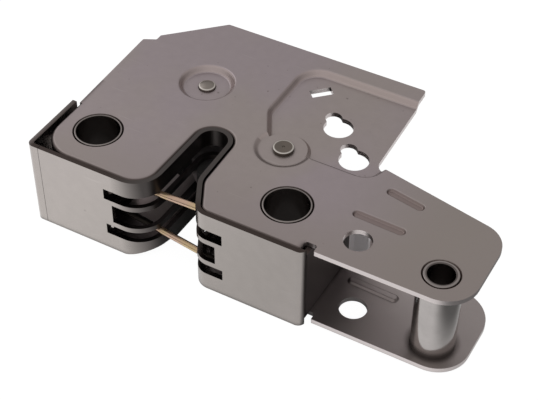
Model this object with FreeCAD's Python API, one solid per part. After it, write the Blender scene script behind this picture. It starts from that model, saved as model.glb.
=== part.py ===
import FreeCAD, Part
import math
import os

# Bonnet latch, millimetres. The origin is on the axis of the left bush, at the
# level of the bush ends that meet the car. X runs along the front to the right,
# Y to the back, Z up.

# Band and side wall
BAND_H = 34.5
BAND_T = 1.7
FRONT_Y = -18.4
LEFT_X = -17.2
RIGHT_X = 90.6
LEFT_CORNER_R = 2.5
RIGHT_CORNER_R = 2.7
SIDE_WALL_REAR_Y = 9.2
SEAM_X = -12.4
SEAM_GAP = 0.15
JAW_LIFT = 2.8
JAW_LIFT_HALF = 9.6
JAW_LIFT_DEG = -25.0
JAW_LIFT_REACH = 16.5

# Striker slot
SLOT_X = 37.4
SLOT_END_Y = 14.6
SLOT_END_R = 5.3
SLOT_MOUTH_Y = -4.6
SLOT_MOUTH_HALF = 5.8
LEFT_JAW_R = 10.5
FLARE_DEG = 27.6
FLARE_R = 10.0
RIGHT_JAW_R = 6.0

# Windows in the band, measured on the front wall
LEG_WINDOW_X = (13.9, 60.4)
CLAW_WINDOW_X = (16.9, 57.6)
LEG_WINDOW_H = 4.4
RIB_H = 2.0
CLAW_WINDOW_H = 7.8
WINDOW_RISE = 0.15
NIB = (1.1, 0.8)

# Inner leg of the band, which runs in between the plates
INNER_STEP_Y = -16.3
INNER_REAR_Y = 15.0
LIP_R = 3.4
LIP_LENGTH = 5.0
INNER_CLEAR = 0.15

# Plates
SHEET_T = 1.8
TOP_FACE_DROP = 0.1
BOTTOM_FACE_Z = 0.8
PLATE_GAP = 0.1
ROLL_H = 4.2
ROLL_R = 1.4
ROLL_END_X = 88.1
ROLL_LEFT_Y = 9.2
PLATE_LEFT_X = -14.2
PLATE_CORNER_R = 12.5
PLATE_LEAN = 1.2
STEP_Y = 52.1
STEP_X = 4.5
CHAMFER_START_Y = 57.3
CHAMFER_END_X = 8.1
REAR_Y = 76.1
TAB_FRONT_X = 91.5
TAB_REAR_X = 90.1
TAB_ROUND_R = 4.5
ARM_END_X = 144.0
ARM_FRONT_Y = -15.5
ARM_FRONT_R = 11.5
ARM_REAR_R = 10.0
ARM_REAR_Y = 31.8
ARM_REAR_SLOPE = 0.207
NOTCH_W = 4.4
NOTCH_END_Y = -12.6
NOTCH_R = 1.0
LOWER_ARM_INSET = 2.2
LOWER_ARM_REAR_R = 13.0
LOWER_ARM_ROOT_X = 80.6
LOWER_WAIST = (66.0, 50.0)
LOWER_REAR_X = (0.0, 46.0)
LOWER_REAR_Y = 69.0
LOWER_SIDE_END_Y = 56.1

# Pressed recesses
PRESS_DEPTH = 2.2
PRESS_RUN = 2.4
PRESS_STEPS = (0.0, 0.17, 0.34, 0.66, 0.83, 1.0)
CLAW_RECESS_R = 8.2
PAWL_RECESS_R = 8.3
PAWL_RECESS_DEPTH = 1.0
PAWL_SKIRT = 1.2
FIELD_LEFT_X = 47.4
FIELD_REAR_Y = 67.1
FIELD_FRONT_Y = 25.2
FIELD_RIGHT_X = 91.6
FIELD_TURN_Y = 39.5
FIELD_EDGE_Y = 42.0
FIELD_EDGE_X = 97.1
BEAD_DEPTH = 0.9
BEAD_RUN = 1.0
BEAD_HALF_W = 0.9
BEADS = (((96.0, 6.9), (113.4, 6.3)), ((101.2, 21.9), (114.0, 19.5)))

# Holder openings on the tab, on one slanting line
KEY_FRONT = (83.2, 31.9)
KEY_PITCH = 17.6
KEY_DEG = 134.3
KEY_BIG_R = 5.35
KEY_SMALL_R = 3.0
KEY_THROW = 5.7
CATCH_DISTANCE = 38.2
CATCH_LENGTH = 8.0
CATCH_W = 4.1

# Bushes
LEFT_BUSH = (0.0, 0.0)
MIDDLE_BUSH = (75.0, -0.7)
ARM_BUSH = (131.5, -4.6)
BUSH_BORE_R = 7.65
BUSH_NECK_R = 8.35
BUSH_BODY_R = 9.0
ARM_BUSH_BORE_R = 4.5
ARM_BUSH_NECK_R = 5.85
ARM_BUSH_BODY_R = 7.5
BUSH_PROUD = 0.1
BUSH_EDGE_R = 0.25
NECK_CLEAR = 0.05
SINK_W = 0.55
SINK_DEPTH = 0.9
ARM_HOLE = (102.5, -4.2)
ARM_HOLE_R = 4.83

# Pivot pins and their sleeves
CLAW_PIVOT = (18.9, 41.6)
PAWL_PIVOT = (60.2, 23.8)
PIN_R = 5.0
TENON_R = 2.7
TENON_CLEAR = 0.05
TENON_SINK = 0.5
CLAW_HEAD_R = 3.1
CLAW_HEAD_H = 0.9
CLAW_DOME_H = 0.6
PAWL_HEAD_R = 3.7
PAWL_HEAD_H = 1.2
PUNCH_R = 0.45
HEAD_EDGE_R = 0.35
RUNNING_CLEAR = 0.05
SLEEVE_R = 7.0
END_PLAY = 0.15

# Claw, drawn closed and then turned back to open
STEEL_T = 6.0
STRIKER_Y = 14.0
THROAT_R = 5.2
THROAT_REAR_DEG = 30.0
THROAT_FRONT_DEG = 8.0
THROAT_REACH = 40.0
CLAW_SWING_DEG = 38.0
CLAW_HUB_R = 13.0
CLAW_SPINE_R = 9.0
CLAW_CAM_R = 29.0
CLAW_NOTCH_DEPTH = 3.5
CLAW_NOTCH_SPAN_DEG = 16.0
CAM_RUN_ON_DEG = 12.0
CLAW_ARM_REACH = 32.3
CLAW_ARM_DEG = -21.5
CLAW_ARM_TIP_R = 3.6
HOOK_TIP = (25.6, -34.8)
HOOK_TIP_R = 3.0

# Pawl, drawn engaged and then lifted onto the cam
NOSE_CLEAR = 0.3
NOSE_HALF_W = 3.0
NOSE_LENGTH = 8.5
PAWL_HUB_R = 7.5
PAWL_ELBOW = (-2.9, 18.5)
PAWL_ELBOW_R = 4.4
PAWL_END = (-12.6, 38.5)
PAWL_END_R = 4.5
CABLE_EYE_R = 2.1

# Pop-up spring on the left bush
LEG_WIRE_R = 1.2
LEG_COIL_CLEAR = 0.35
UPPER_TURN_GAP = 1.1
LOWER_TURN_GAP = 0.4
UPPER_TURNS = 1
LOWER_TURNS = 2
UPPER_LEG_LIFT = 0.6
LOWER_LEG_LIFT = 2.0
UPPER_LEG_DEG = 1.9
LOWER_LEG_DEG = 6.8
LEG_TIP_X = 55.5
LEG_CRANK = (12.5, -9.0)
LOWER_TIP_Y = -12.4
LOWER_TIP_DROP = 1.2
LEG_SPLIT = 0.3
BOW_GAP = 0.2
BOW_BEND_R = 4.0
JOINT_SWELL = 1.04

# Return springs on the lower sleeves
RETURN_WIRE_R = 0.8
RETURN_CLEAR = 1.2
RETURN_TURN_GAP = 0.3
RETURN_RISE = 3.2
RETURN_TURNS = 3
CLAW_SPRING_FOOT = (30.6, 20.3)
CLAW_SPRING_END = (31.4, 33.0)
PAWL_SPRING_FOOT = (66.2, 6.0)
PAWL_SPRING_END = (50.0, 44.0)

# Levels and places that follow from these
MIDDLE_Z = BAND_H / 2.0 + WINDOW_RISE
PLATE_FRONT_Y = FRONT_Y + BAND_T + PLATE_GAP
TOP_FACE_Z = BAND_H - TOP_FACE_DROP
TOP_INSIDE_Z = TOP_FACE_Z - SHEET_T
BOTTOM_INSIDE_Z = BOTTOM_FACE_Z + SHEET_T
BUSH_LENGTH = TOP_FACE_Z + BUSH_PROUD
LEG_WINDOW_OFFSET = CLAW_WINDOW_H / 2.0 + RIB_H + LEG_WINDOW_H / 2.0
UPPER_LEG_Z = MIDDLE_Z + LEG_WINDOW_OFFSET + UPPER_LEG_LIFT
LOWER_LEG_Z = MIDDLE_Z - LEG_WINDOW_OFFSET + LOWER_LEG_LIFT
LOWER_TIP_Z = MIDDLE_Z - LEG_WINDOW_OFFSET - LOWER_TIP_DROP
LEG_COIL_R = BUSH_BODY_R + LEG_COIL_CLEAR + LEG_WIRE_R
UPPER_PITCH = 2.0 * LEG_WIRE_R + UPPER_TURN_GAP
LOWER_PITCH = 2.0 * LEG_WIRE_R + LOWER_TURN_GAP
BOW_Y = FRONT_Y + BAND_T + BOW_GAP + LEG_WIRE_R
RETURN_LOW_Z = BOTTOM_INSIDE_Z + RETURN_RISE
RETURN_COIL_R = SLEEVE_R + RETURN_CLEAR + RETURN_WIRE_R
RETURN_PITCH = 2.0 * RETURN_WIRE_R + RETURN_TURN_GAP
SLOT_REAR_Y = SLOT_END_Y + SLOT_END_R
WALL_REAR_Y = SLOT_REAR_Y + 2.0 * SLOT_END_R
INNER_LEG_X = RIGHT_X - 4.0 * RIGHT_CORNER_R
STEEL_Z0 = MIDDLE_Z - STEEL_T / 2.0
STEEL_Z1 = MIDDLE_Z + STEEL_T / 2.0
FAR = 300.0


def vec(x, y, z=0.0):
    return FreeCAD.Vector(x, y, z)


def polar(centre, radius, degrees):
    angle = math.radians(degrees)
    return (centre[0] + radius * math.cos(angle), centre[1] + radius * math.sin(angle))


def rounded_wire(corners):
    """Closed wire through corners (x, y, r), with an arc of radius r at each."""
    count = len(corners)
    starts, ends, middles = [], [], []
    for i in range(count):
        x, y, r = corners[i]
        here = vec(x, y)
        back = vec(*corners[i - 1][:2]) - here
        ahead = vec(*corners[(i + 1) % count][:2]) - here
        back.normalize()
        ahead.normalize()
        if r == 0.0:
            starts.append(here)
            ends.append(here)
            middles.append(None)
            continue
        half = back.getAngle(ahead) / 2.0
        reach = r / math.tan(half)
        bisector = back + ahead
        bisector.normalize()
        centre = here + bisector * (r / math.sin(half))
        starts.append(here + back * reach)
        ends.append(here + ahead * reach)
        middles.append(centre - bisector * r)
    edges = []
    for i in range(count):
        if middles[i] is not None:
            edges.append(Part.Arc(starts[i], middles[i], ends[i]).toShape())
        after = starts[(i + 1) % count]
        if (after - ends[i]).Length > 1e-6:
            edges.append(Part.LineSegment(ends[i], after).toShape())
    return Part.Wire(edges)


def prism(wire, z0, z1):
    lifted = wire.copy()
    lifted.translate(vec(0, 0, z0))
    return Part.Face(lifted).extrude(vec(0, 0, z1 - z0))


def disc(centre, radius, z0, z1):
    return Part.makeCylinder(radius, z1 - z0, vec(centre[0], centre[1], z0))


def ring(centre, inner, outer, z0, z1):
    return disc(centre, outer, z0, z1).cut(disc(centre, inner, z0, z1))


def block(x0, x1, y0, y1, z0, z1):
    return Part.makeBox(x1 - x0, y1 - y0, z1 - z0, vec(x0, y0, z0))


def link(p, rp, q, rq, z0, z1):
    """Plate shaped like a belt round two discs."""
    dx, dy = q[0] - p[0], q[1] - p[1]
    length = math.hypot(dx, dy)
    heading = math.degrees(math.atan2(dy, dx))
    spread = math.degrees(math.acos((rp - rq) / length))
    left_p, right_p = polar(p, rp, heading + spread), polar(p, rp, heading - spread)
    left_q, right_q = polar(q, rq, heading + spread), polar(q, rq, heading - spread)
    rear_p, front_q = polar(p, rp, heading + 180.0), polar(q, rq, heading)
    edges = [
        Part.Arc(vec(*left_p), vec(*rear_p), vec(*right_p)).toShape(),
        Part.LineSegment(vec(*right_p), vec(*right_q)).toShape(),
        Part.Arc(vec(*right_q), vec(*front_q), vec(*left_q)).toShape(),
        Part.LineSegment(vec(*left_q), vec(*left_p)).toShape(),
    ]
    return prism(Part.Wire(edges), z0, z1)


def sunk_space(wire, run, depth):
    """Space above a pressed floor: wire at the floor, rounded sides run wide."""
    sections = []
    for step in PRESS_STEPS:
        share = step ** 2 * (3.0 - 2.0 * step)
        section = wire.makeOffset2D(run * (1.0 - step)) if step < 1.0 else wire.copy()
        section.translate(vec(0, 0, -depth * share))
        sections.append(section)
    rim = wire.makeOffset2D(run)
    lid = Part.Face(rim).extrude(vec(0, 0, 0.01))
    return Part.makeLoft(sections, True, True).fuse(lid)


def band_plan(inset, right_x, rear_y):
    """Outline of the latch inside the band's outer face, moved in by inset."""
    taper = (SLOT_MOUTH_HALF - SLOT_END_R) / (SLOT_END_Y - SLOT_MOUTH_Y)
    half_front = SLOT_MOUTH_HALF + taper * (SLOT_MOUTH_Y - FRONT_Y)
    half_end = SLOT_END_R - taper * SLOT_END_R
    flare_x = SLOT_X + SLOT_MOUTH_HALF
    flare_front_x = flare_x + (SLOT_MOUTH_Y - FRONT_Y) * math.tan(math.radians(FLARE_DEG))
    end_round = SLOT_END_R - 0.25
    plan = rounded_wire([
        (LEFT_X, FRONT_Y, LEFT_CORNER_R),
        (SLOT_X - half_front, FRONT_Y, LEFT_JAW_R),
        (SLOT_X - half_end, SLOT_REAR_Y, end_round),
        (SLOT_X + half_end, SLOT_REAR_Y, end_round),
        (flare_x, SLOT_MOUTH_Y, FLARE_R),
        (flare_front_x, FRONT_Y, RIGHT_JAW_R),
        (right_x, FRONT_Y, RIGHT_CORNER_R),
        (right_x, rear_y, 0.0),
        (LEFT_X, rear_y, 0.0),
    ])
    return plan.makeOffset2D(-inset) if inset else plan


def window_levels():
    """Heights of the three windows: lower legs, claw, upper legs."""
    claw0 = MIDDLE_Z - CLAW_WINDOW_H / 2.0
    claw1 = MIDDLE_Z + CLAW_WINDOW_H / 2.0
    lower = (claw0 - RIB_H - LEG_WINDOW_H, claw0 - RIB_H)
    upper = (claw1 + RIB_H, claw1 + RIB_H + LEG_WINDOW_H)
    return lower, (claw0, claw1), upper


def make_wall():
    """The side wall and the front band as one, before the seam parts them."""
    outer = prism(band_plan(0.0, RIGHT_X, FAR), 0.0, BAND_H)
    inner = prism(band_plan(BAND_T, RIGHT_X, FAR), -1.0, BAND_H + 1.0)
    wall = outer.cut(inner)
    wall = wall.cut(block(LEFT_X - 1, SEAM_X, SIDE_WALL_REAR_Y, FAR + 1, -1.0, BAND_H + 1))
    wall = wall.cut(block(SEAM_X, INNER_LEG_X, WALL_REAR_Y, FAR + 1, -1.0, BAND_H + 1))
    wall = wall.cut(block(INNER_LEG_X, RIGHT_X + 1, INNER_REAR_Y, FAR + 1, -1.0, BAND_H + 1))
    for z0, z1 in ((-1.0, BOTTOM_INSIDE_Z + INNER_CLEAR), (TOP_INSIDE_Z - INNER_CLEAR, BAND_H + 1)):
        wall = wall.cut(block(INNER_LEG_X, RIGHT_X + 1, INNER_STEP_Y, FAR, z0, z1))
    lower, claw, upper = window_levels()
    for levels, span in ((lower, LEG_WINDOW_X), (claw, CLAW_WINDOW_X), (upper, LEG_WINDOW_X)):
        wall = wall.cut(block(span[0], span[1], FRONT_Y - 1, WALL_REAR_Y, levels[0], levels[1]))
    return wall


def jaw_relief():
    """Round cutter that lifts the band's lower edge round the left jaw."""
    radius = JAW_LIFT_HALF ** 2 / (2.0 * JAW_LIFT) + JAW_LIFT / 2.0
    angle = math.radians(JAW_LIFT_DEG)
    along = vec(math.cos(angle), math.sin(angle))
    centre = vec(SLOT_X - SLOT_MOUTH_HALF - LEFT_JAW_R, FRONT_Y + LEFT_JAW_R, JAW_LIFT - radius)
    return Part.makeCylinder(radius, JAW_LIFT_REACH, centre, along)


def make_side_wall(wall):
    return wall.common(block(LEFT_X - 1, SEAM_X - SEAM_GAP / 2, FRONT_Y - 1, FAR, -1.0, BAND_H + 1))


def make_front_band(wall):
    band = wall.common(block(SEAM_X + SEAM_GAP / 2, FAR, FRONT_Y - 1, FAR, -1.0, BAND_H + 1))
    band = band.cut(jaw_relief())
    nib_top = window_levels()[0][1]
    nib_x = CLAW_WINDOW_X[0]
    nib = block(nib_x - NIB[0], nib_x, FRONT_Y, FRONT_Y + BAND_T, nib_top - NIB[1], nib_top + RIB_H / 4.0)
    band = band.fuse(nib)
    z0, z1 = BOTTOM_INSIDE_Z + INNER_CLEAR, TOP_INSIDE_Z - INNER_CLEAR
    pivot = (RIGHT_X - BAND_T + LIP_R, INNER_REAR_Y)
    bend = ring(pivot, LIP_R - BAND_T, LIP_R, z0, z1)
    bend = bend.common(block(pivot[0] - LIP_R, pivot[0], pivot[1], pivot[1] + LIP_R, z0, z1))
    lip = block(pivot[0], pivot[0] + LIP_LENGTH, pivot[1] + LIP_R - BAND_T, pivot[1] + LIP_R, z0, z1)
    return band.fuse([bend, lip]).removeSplitter()


def arm_rear_y(x):
    return ARM_REAR_Y - ARM_REAR_SLOPE * (x - RIGHT_X)


def front_corners(rear_inset, rear_r):
    """Left front, notch and arm of a plate, the arm's rear edge moved in by rear_inset."""
    notch_right = ROLL_END_X + NOTCH_W
    return [
        (PLATE_LEFT_X, PLATE_FRONT_Y, PLATE_CORNER_R),
        (ROLL_END_X, PLATE_FRONT_Y, 0.0),
        (ROLL_END_X, NOTCH_END_Y, NOTCH_R),
        (notch_right, NOTCH_END_Y, NOTCH_R),
        (notch_right, ARM_FRONT_Y, 0.3),
        (ARM_END_X, ARM_FRONT_Y, ARM_FRONT_R),
        (ARM_END_X, arm_rear_y(ARM_END_X) - rear_inset, rear_r),
    ]


def top_outline():
    lean_x = PLATE_LEFT_X - PLATE_LEAN
    return rounded_wire(front_corners(0.0, ARM_REAR_R) + [
        (TAB_FRONT_X, arm_rear_y(TAB_FRONT_X), TAB_ROUND_R),
        (TAB_REAR_X, REAR_Y, 1.2),
        (CHAMFER_END_X, REAR_Y, 1.0),
        (lean_x + STEP_X, CHAMFER_START_Y, 0.6),
        (lean_x + STEP_X, STEP_Y + 2.3, 0.6),
        (lean_x, STEP_Y, 0.8),
        (PLATE_LEFT_X, ROLL_LEFT_Y, 0.0),
    ])


def bottom_outline():
    lean_x = PLATE_LEFT_X - PLATE_LEAN
    root_y = arm_rear_y(LOWER_ARM_ROOT_X) - LOWER_ARM_INSET
    return rounded_wire(front_corners(LOWER_ARM_INSET, LOWER_ARM_REAR_R) + [
        (LOWER_ARM_ROOT_X, root_y, 6.0),
        (*LOWER_WAIST, 4.0),
        (LOWER_REAR_X[1], LOWER_REAR_Y, 4.0),
        (LOWER_REAR_X[0], LOWER_REAR_Y, 3.0),
        (lean_x, LOWER_SIDE_END_Y, 3.0),
        (PLATE_LEFT_X, ROLL_LEFT_Y, 0.0),
    ])


def at_level(edge, z):
    """Whether an edge lies flat at height z."""
    return abs(edge.BoundBox.ZMin - z) < 1e-4 and abs(edge.BoundBox.ZMax - z) < 1e-4


def rolled_tray():
    """Sheet with its left, front and slot edges turned down; it runs on right and back."""
    corner = rounded_wire([
        (PLATE_LEFT_X, PLATE_FRONT_Y, PLATE_CORNER_R),
        (FAR, PLATE_FRONT_Y, 0.0),
        (FAR, FAR, 0.0),
        (PLATE_LEFT_X, FAR, 0.0),
    ])
    outer = prism(corner, -ROLL_H, 0.0)
    outer = outer.common(prism(band_plan(BAND_T + PLATE_GAP, FAR, FAR), -ROLL_H, 0.0))
    core = prism(corner.makeOffset2D(-SHEET_T), -ROLL_H, -SHEET_T)
    core = core.common(prism(band_plan(BAND_T + PLATE_GAP + SHEET_T, FAR, FAR), -ROLL_H, -SHEET_T))
    tray = outer.cut(core)
    return tray.makeFillet(ROLL_R, [edge for edge in tray.Edges if at_level(edge, 0.0)])


def rolled_blank(outline):
    """Flat sheet, outer face at z = 0, with its front and slot edge rolled in."""
    rear_y = SLOT_REAR_Y + 2.0 * ROLL_H
    zone = block(LEFT_X, ROLL_END_X, FRONT_Y, rear_y, -ROLL_H, 0.0)
    side = block(LEFT_X, PLATE_LEFT_X + PLATE_CORNER_R, ROLL_LEFT_Y, rear_y, -ROLL_H, 0.0)
    zone = zone.cut(side)
    sheet = prism(outline, -SHEET_T, 0.0).cut(zone)
    return sheet.fuse(rolled_tray().common(zone)).removeSplitter()


def press(sheet, outline, wire, depth, run):
    """Sink the stretch inside wire by depth, with rounded sides run wide."""
    hollow = sunk_space(wire, run, depth)
    under = hollow.copy()
    under.translate(vec(0, 0, -SHEET_T))
    under = under.common(prism(outline, -SHEET_T - depth, -SHEET_T / 2.0))
    return sheet.fuse(under).cut(hollow).removeSplitter()


def circle_wire(centre, radius):
    return Part.Wire(Part.makeCircle(radius, vec(*centre)))


def bead_wire(start, end):
    dx, dy = end[0] - start[0], end[1] - start[1]
    length = math.hypot(dx, dy)
    nx, ny = -dy / length * BEAD_HALF_W, dx / length * BEAD_HALF_W
    turn = BEAD_HALF_W * 0.98
    return rounded_wire([
        (start[0] + nx, start[1] + ny, turn),
        (start[0] - nx, start[1] - ny, turn),
        (end[0] - nx, end[1] - ny, turn),
        (end[0] + nx, end[1] + ny, turn),
    ])


def field_wire():
    """The lowered field of the tab; its right side lies past the plate's edge."""
    return rounded_wire([
        (FAR / 2, FIELD_REAR_Y, 4.0),
        (FIELD_LEFT_X, FIELD_REAR_Y, 7.5),
        (FIELD_LEFT_X, FIELD_TURN_Y, 7.0),
        (PAWL_PIVOT[0] - 5.0, FIELD_FRONT_Y, 3.0),
        (FIELD_RIGHT_X, FIELD_FRONT_Y, 5.0),
        (FIELD_EDGE_X, FIELD_EDGE_Y, 4.0),
        (FAR / 2, FIELD_EDGE_Y, 4.0),
    ])


def press_pawl_seat(sheet, outline):
    """The round seat of the pawl pin, shallower than the field that it stands in."""
    seat = circle_wire(PAWL_PIVOT, PAWL_RECESS_R)
    hollow = sunk_space(seat, PRESS_RUN, PAWL_RECESS_DEPTH)
    under = hollow.copy()
    under.translate(vec(0, 0, -SHEET_T))
    under = under.cut(sunk_space(field_wire(), PRESS_RUN, PRESS_DEPTH))
    foot_r = PAWL_RECESS_R + PAWL_SKIRT
    skirt = Part.makeCone(
        foot_r, PAWL_RECESS_R, PRESS_DEPTH - PAWL_RECESS_DEPTH, vec(*PAWL_PIVOT, -PRESS_DEPTH)
    )
    inside = skirt.copy()
    inside.translate(vec(0, 0, -SHEET_T))
    raised = skirt.fuse(disc(PAWL_PIVOT, foot_r, -PRESS_DEPTH - SHEET_T, -PRESS_DEPTH))
    in_field = prism(field_wire().makeOffset2D(PRESS_RUN * 0.6), -PRESS_DEPTH - SHEET_T, 0.0)
    sheet = sheet.cut(inside.common(in_field))
    raised = raised.cut(inside).common(in_field)
    return sheet.fuse([raised, under]).cut(hollow).removeSplitter()


def key_centre(number):
    return polar(KEY_FRONT, KEY_PITCH * number, KEY_DEG)


def holder_cuts():
    """Two keyholes and the catch slot for the cable holder."""
    z0, z1 = -SHEET_T - PRESS_DEPTH - 1.0, 1.0
    cuts = []
    for number in range(2):
        big = key_centre(number)
        small = polar(big, KEY_THROW, KEY_DEG)
        cuts.append(disc(big, KEY_BIG_R, z0, z1))
        cuts.append(link(big, KEY_SMALL_R, small, KEY_SMALL_R - 0.001, z0, z1))
    catch = block(-CATCH_W / 2, CATCH_W / 2, -CATCH_LENGTH / 2, CATCH_LENGTH / 2, z0, z1)
    catch.rotate(vec(0, 0), vec(0, 0, 1), KEY_DEG)
    x, y = polar(KEY_FRONT, CATCH_DISTANCE, KEY_DEG)
    catch.translate(vec(x, y))
    cuts.append(catch)
    return cuts


def bush_holes():
    """Holes for the bush necks, sunk at the outer face, and the plain arm hole."""
    cuts = []
    necks = ((LEFT_BUSH, BUSH_NECK_R), (MIDDLE_BUSH, BUSH_NECK_R), (ARM_BUSH, ARM_BUSH_NECK_R))
    for centre, neck_r in necks:
        hole_r = neck_r + NECK_CLEAR
        cuts.append(disc(centre, hole_r, -SHEET_T - 1.0, 1.0))
        sink = Part.makeCone(hole_r, hole_r + SINK_W, SINK_DEPTH, vec(centre[0], centre[1], -SINK_DEPTH))
        cuts.append(sink)
    cuts.append(disc(ARM_HOLE, ARM_HOLE_R, -SHEET_T - 1.0, 1.0))
    return cuts


def pivot_holes():
    """Holes for the pins, sunk at the floors of their recesses."""
    cuts = []
    for pivot, depth in ((CLAW_PIVOT, PRESS_DEPTH), (PAWL_PIVOT, PAWL_RECESS_DEPTH)):
        hole_r = TENON_R + TENON_CLEAR
        cuts.append(disc(pivot, hole_r, -depth - SHEET_T - 1.0, 1.0))
        sink = Part.makeCone(hole_r, hole_r + TENON_SINK, SINK_DEPTH, vec(*pivot, -depth - SINK_DEPTH))
        cuts.append(sink)
    return cuts


def pressed_plate(outline, with_field):
    sheet = rolled_blank(outline)
    claw_seat = circle_wire(CLAW_PIVOT, CLAW_RECESS_R)
    sheet = press(sheet, outline, claw_seat, PRESS_DEPTH, PRESS_RUN)
    if with_field:
        sheet = press(sheet, outline, field_wire(), PRESS_DEPTH, PRESS_RUN)
        sheet = press_pawl_seat(sheet, outline)
    else:
        seat = circle_wire(PAWL_PIVOT, PAWL_RECESS_R)
        sheet = press(sheet, outline, seat, PAWL_RECESS_DEPTH, PRESS_RUN)
    for start, end in BEADS:
        bead = bead_wire(start, end)
        sheet = press(sheet, outline, bead, BEAD_DEPTH, BEAD_RUN)
    return sheet.cut(bush_holes() + pivot_holes())


def make_top_plate():
    plate = pressed_plate(top_outline(), True).cut(holder_cuts())
    plate.translate(vec(0, 0, TOP_FACE_Z))
    return plate


def make_bottom_plate():
    plate = pressed_plate(bottom_outline(), False)
    plate = plate.mirror(vec(0, 0, 0), vec(0, 0, 1))
    plate.translate(vec(0, 0, BOTTOM_FACE_Z))
    return plate


def make_bush(centre, bore_r, neck_r, body_r):
    neck = disc(centre, neck_r, 0.0, BUSH_LENGTH)
    body = disc(centre, body_r, BOTTOM_INSIDE_Z, TOP_INSIDE_Z)
    bush = neck.fuse(body).removeSplitter().cut(disc(centre, bore_r, -1.0, BUSH_LENGTH + 1.0))
    return bush.makeFillet(BUSH_EDGE_R, [edge for edge in bush.Edges if at_level(edge, BUSH_LENGTH)])


def seat_levels(depth):
    """Heights of the plates' inner faces at a recess of this depth."""
    return BOTTOM_INSIDE_Z + depth, TOP_INSIDE_Z - depth


def make_head(centre, radius, height):
    """Riveted end of a pin, seat at z = 0, with a rounded edge."""
    head = disc(centre, radius, 0.0, height)
    return head.makeFillet(HEAD_EDGE_R, [edge for edge in head.Edges if at_level(edge, height)])


def claw_head():
    """Head with a raised crown."""
    crown_r = CLAW_HEAD_R - HEAD_EDGE_R
    ball_r = (crown_r ** 2 + CLAW_DOME_H ** 2) / (2.0 * CLAW_DOME_H)
    ball = Part.makeSphere(ball_r, vec(*CLAW_PIVOT, CLAW_HEAD_H + CLAW_DOME_H - ball_r))
    crown = ball.common(disc(CLAW_PIVOT, crown_r, CLAW_HEAD_H / 2.0, CLAW_HEAD_H + CLAW_DOME_H))
    return make_head(CLAW_PIVOT, CLAW_HEAD_R, CLAW_HEAD_H).fuse(crown)


def pawl_head():
    """Flat head with a punch mark in the middle."""
    head = make_head(PAWL_PIVOT, PAWL_HEAD_R, PAWL_HEAD_H)
    return head.cut(Part.makeSphere(PUNCH_R, vec(*PAWL_PIVOT, PAWL_HEAD_H)))


def make_pin(centre, depth, head):
    """Pin between the recesses of the plates, with a head at each end."""
    low, high = seat_levels(depth)
    body = disc(centre, PIN_R, low, high)
    tenon = disc(centre, TENON_R, low - SHEET_T, high + SHEET_T)
    upper = head.copy()
    upper.translate(vec(0, 0, high + SHEET_T))
    lower = head.mirror(vec(0, 0, 0), vec(0, 0, 1))
    lower.translate(vec(0, 0, low - SHEET_T))
    return body.fuse([tenon, upper, lower]).removeSplitter()


def make_sleeve(centre, depth, upper):
    low, high = seat_levels(depth)
    bore = PIN_R + RUNNING_CLEAR
    if upper:
        return ring(centre, bore, SLEEVE_R, STEEL_Z1 + END_PLAY, high)
    return ring(centre, bore, SLEEVE_R, low, STEEL_Z0 - END_PLAY)


def nose_place():
    """Angle of the pawl's nose about the claw pivot, and its distance from the pawl pivot."""
    dx, dy = PAWL_PIVOT[0] - CLAW_PIVOT[0], PAWL_PIVOT[1] - CLAW_PIVOT[1]
    span = math.hypot(dx, dy)
    reach = CLAW_CAM_R - CLAW_NOTCH_DEPTH + NOSE_CLEAR
    angle = math.degrees(math.atan2(dy, dx)) + math.degrees(math.acos(reach / span))
    return angle, math.sqrt(span ** 2 - reach ** 2)


def sector(centre, radius, start, end):
    """Pie slice of the claw's plate."""
    middle = (start + end) / 2.0
    edges = [
        Part.LineSegment(vec(*centre), vec(*polar(centre, radius, start))).toShape(),
        Part.Arc(
            vec(*polar(centre, radius, start)),
            vec(*polar(centre, radius, middle)),
            vec(*polar(centre, radius, end)),
        ).toShape(),
        Part.LineSegment(vec(*polar(centre, radius, end)), vec(*centre)).toShape(),
    ]
    return prism(Part.Wire(edges), STEEL_Z0, STEEL_Z1)


def throat(striker):
    """Space of the striker in the claw, widening towards the mouth."""
    rear = polar(striker, THROAT_R, THROAT_REAR_DEG + 90.0)
    front = polar(striker, THROAT_R, THROAT_FRONT_DEG - 90.0)
    rear_out = polar(rear, THROAT_REACH, THROAT_REAR_DEG)
    front_out = polar(front, THROAT_REACH, THROAT_FRONT_DEG)
    corners = [(*striker, 0.0), (*front, 0.0), (*front_out, 0.0), (*rear_out, 0.0), (*rear, 0.0)]
    wedge = prism(rounded_wire(corners), STEEL_Z0 - 1, STEEL_Z1 + 1)
    return wedge.fuse(disc(striker, THROAT_R, STEEL_Z0 - 1, STEEL_Z1 + 1))


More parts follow.
